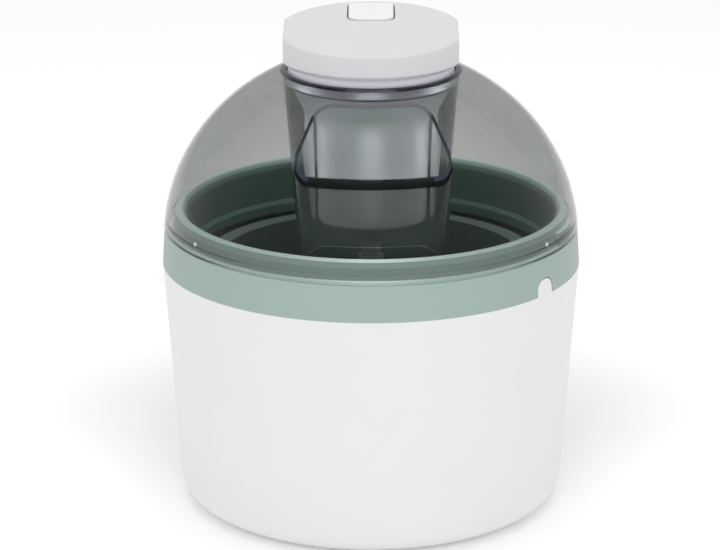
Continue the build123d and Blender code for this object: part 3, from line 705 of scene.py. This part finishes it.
# %% [markdown]
# ## Light for the sleeve
# The sleeve sits deep in smoked plastic. Narrow cards of light that shine on it alone lift it
# and draw soft upright bands on the cylinder, one in front and one to each side. Their spread
# is small, so that they miss most of the sleeve once the motor unit is lifted out. A lamp above
# lifts the collar and the bowl in the same way, and the lid shades none of them.

# %% Linked lamps
def shine_only_on(lamp, lit, blockers):
    """Light linking: lamp reaches the lit pieces only, shaded by the blockers only."""
    for role, pieces in (("receiver", lit), ("blocker", blockers)):
        group = bpy.data.collections.new(lamp.name + " " + role)
        for piece in pieces:
            group.objects.link(piece)
        setattr(lamp.light_linking, role + "_collection", group)


CARD_REACH, CARD_RISE, CARD_HIGH, CARD_SPREAD = 0.6, 0.33, 0.1, 28
SLEEVE_AIM = (0, 0, 0.19)
for name, azimuth, width, power in (("front card", -90, 0.7, 0.5), ("left card", 172, 0.6, 0.42),
                                    ("right card", 8, 0.6, 0.46)):
    turn = math.radians(azimuth)
    away = Vector((math.cos(turn), math.sin(turn), CARD_RISE)) * CARD_REACH
    card = area_lamp(name, away, SLEEVE_AIM, (width, CARD_HIGH), power)
    card.visible_glossy = True
    card.data.spread = math.radians(CARD_SPREAD)
    shine_only_on(card, [sleeve], [sleeve])
inside = ("collar_ring", "bowl_liner", "paddle_hub", "paddle_frame", "drive_coupling",
          "output_shaft")
clear = ("lid_dome", "chimney_tube", "feed_chute", "motor_housing")
inner = area_lamp("inner light", (0, -0.3, 1.6), MIDDLE, (0.6, 0.6), 28)
inner.visible_glossy = True
shine_only_on(inner, [frame["nodes"][n] for n in inside],
              [sleeve] + [made for n, made in frame["nodes"].items() if n not in clear])
linked = [lamp for lamp in scene.objects if lamp.light_linking.receiver_collection]
print("linked lamps:", len(linked))

# %% [markdown]
# ## What repeats
# Feet and screws come in rings. One shape is made in mesh code, and a small Geometry Nodes
# tree puts it on the points of a circle, so a ring is a few numbers instead of four copies.

# %% Ring tree
def ring_tree(shape, material):
    """Geometry Nodes: shape on Count points of a circle, turned by Start."""
    tree = bpy.data.node_groups.new("ring of " + shape.name, "GeometryNodeTree")
    tree.interface.new_socket("Geometry", in_out="OUTPUT", socket_type="NodeSocketGeometry")
    for label, kind, value in (("Count", "NodeSocketInt", 4), ("Radius", "NodeSocketFloat", 0.05),
                               ("Start", "NodeSocketFloat", 0.0)):
        tree.interface.new_socket(label, in_out="INPUT", socket_type=kind).default_value = value
    given = add_node(tree, "NodeGroupInput")
    circle = add_node(tree, "GeometryNodeMeshCircle", {"Vertices": given.outputs["Count"],
                                                       "Radius": given.outputs["Radius"]})
    source = add_node(tree, "GeometryNodeObjectInfo")
    source.inputs["Object"].default_value = shape
    place = add_node(tree, "GeometryNodeInputPosition")
    facing = add_node(tree, "FunctionNodeAlignRotationToVector", {"Vector": place.outputs[0]}, axis="X")
    put = add_node(tree, "GeometryNodeInstanceOnPoints",
                   {"Points": circle.outputs["Mesh"], "Instance": source.outputs["Geometry"],
                    "Rotation": facing.outputs["Rotation"]})
    spin = add_node(tree, "ShaderNodeCombineXYZ", {"Z": given.outputs["Start"]})
    turned = add_node(tree, "GeometryNodeTransform", {"Geometry": put.outputs["Instances"],
                                                      "Rotation": spin.outputs["Vector"]})
    real = add_node(tree, "GeometryNodeRealizeInstances", {"Geometry": turned.outputs["Geometry"]})
    painted = add_node(tree, "GeometryNodeSetMaterial", {"Geometry": real.outputs["Geometry"]})
    painted.inputs["Material"].default_value = material
    out = add_node(tree, "NodeGroupOutput")
    tree.links.new(painted.outputs["Geometry"], out.inputs[0])
    return tree


def ring_piece(name, shape, material, count, radius_mm, start_deg, body, stands_for):
    """Run the tree once and keep its result as a plain mesh."""
    made = bpy.data.objects.new(name, bpy.data.meshes.new(name))
    bpy.context.collection.objects.link(made)
    tree = ring_tree(shape, material)
    step = made.modifiers.new("ring", "NODES")
    step.node_group = tree
    sizes = {"Count": count, "Radius": radius_mm * MM, "Start": math.radians(start_deg)}
    for item in tree.interface.items_tree:    # inputs are set by identifier, not by name
        if item.item_type == "SOCKET" and item.in_out == "INPUT":
            step[item.identifier] = sizes[item.name]
    graph = bpy.context.evaluated_depsgraph_get()
    made.data = bpy.data.meshes.new_from_object(made.evaluated_get(graph))
    made.modifiers.remove(step)
    bpy.data.objects.remove(shape)
    smooth_by_angle(made, CREASE_DEG)
    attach(made, body)
    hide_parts(stands_for)
    print(name + ":", len(made.data.polygons), "faces")
    return made


print("ring tree ready")

# %% [markdown]
# ## Feet
# Each rubber foot is a flat button with a rounded rim and two shallow rings underneath, so
# that it grips a wet worktop.

# %% Feet in a ring
def small_lathe(name, outline, material, steps=32):
    return lathe(name, lambda a: outline, even_angles(steps), material)


foot_outline = [(0.0, 5.6), (2.8, 5.6), (3.2, 5.2), (3.2, 4.0), (2.3, 4.0), (2.3, 2.0), (6.9, 2.0),
                (7.2, 1.7), (7.2, 0.6), (6.6, 0.0), (5.4, 0.0), (5.1, 0.4), (4.5, 0.4), (4.2, 0.0),
                (3.0, 0.0), (2.7, 0.4), (2.1, 0.4), (1.8, 0.0), (0.0, 0.0)]
FOOT_RING_MM, FOOT_START_DEG = 70, 45
foot = small_lathe("foot", foot_outline, soft_rubber, 48)
ring_piece("rubber_foot_ring", foot, soft_rubber, 4, FOOT_RING_MM, FOOT_START_DEG, "base",
           "rubber_feet")

# %% [markdown]
# ## Screws
# The screws are pan heads with a cross recess: a turned head and shank, less a small cross
# cut by two thin blocks.

# %% Screws in rings
SLOT_HALF = 0.35


def cross_screw(name, head_r, head_h, shank_r, z_head, z_tip):
    """Pan-head screw; the head is at z_head and its shank runs to z_tip."""
    way = 1 if z_tip > z_head else -1
    top = z_head + way * head_h
    outline = [(0.0, z_head), (head_r * 0.7, z_head), (head_r * 0.93, z_head + way * head_h * 0.3),
               (head_r, z_head + way * head_h * 0.7), (head_r, top), (shank_r, top),
               (shank_r, z_tip - way * 1.0), (shank_r * 0.5, z_tip), (0.0, z_tip)]
    made = small_lathe(name, outline, zinc_steel, 24)
    for long_x, long_y in ((head_r * 0.6, SLOT_HALF), (SLOT_HALF, head_r * 0.6)):
        bm = bmesh.new()
        block = Matrix.Diagonal((2 * long_x * MM, 2 * long_y * MM, head_h * MM, 1))
        at_head = Matrix.Translation((0, 0, z_head * MM))
        bmesh.ops.create_cube(bm, size=1, matrix=at_head @ block)
        combine(made, finish_mesh("slot", bm, zinc_steel), "DIFFERENCE")
    return made


SCREW_RING_MM = 56
seat_screw = cross_screw("seat_screw", 3.1, 1.2, 1.25, 1.1, 10.5)
ring_piece("seat_screw_ring", seat_screw, zinc_steel, 4, SCREW_RING_MM, 0, "base", "seat_screws")

# %% [markdown]
# ## Finishes for the other nodes
# Every solid that keeps its CAD shape gets the material that it is really made of.

# %% Dress the CAD nodes
dress(white_abs, "outer_housing")
dress(cap_abs, "cap_shell")
dress(key_abs, "power_switch")
dress(sage_pp, "collar_ring")
dress(soft_rubber, "seat_pads", "rim_seal", "bowl_plug", "cord_gland")
dress(bowl_pp, "bowl_shell", "bowl_seat", "terminal_block")
dress(anodised, "bowl_liner")
dress(zinc_steel, "bowl_pivot", "switch_pin", "cap_screws", "layshaft_pin", "gear_plate",
      "plate_screws", "motor_can", "motor_screws", "rotor_shaft")
dress(paddle_pp, "paddle_hub", "paddle_frame", "output_shaft")
dress(dark_acetal, "drive_coupling", "switch_module", "wires")
dress(pale_acetal, "output_gear", "layshaft_gear", "coolant_fill")
dress(sinter_bronze, "output_bush", "motor_pinion", "motor_bearing", "motor_coil")
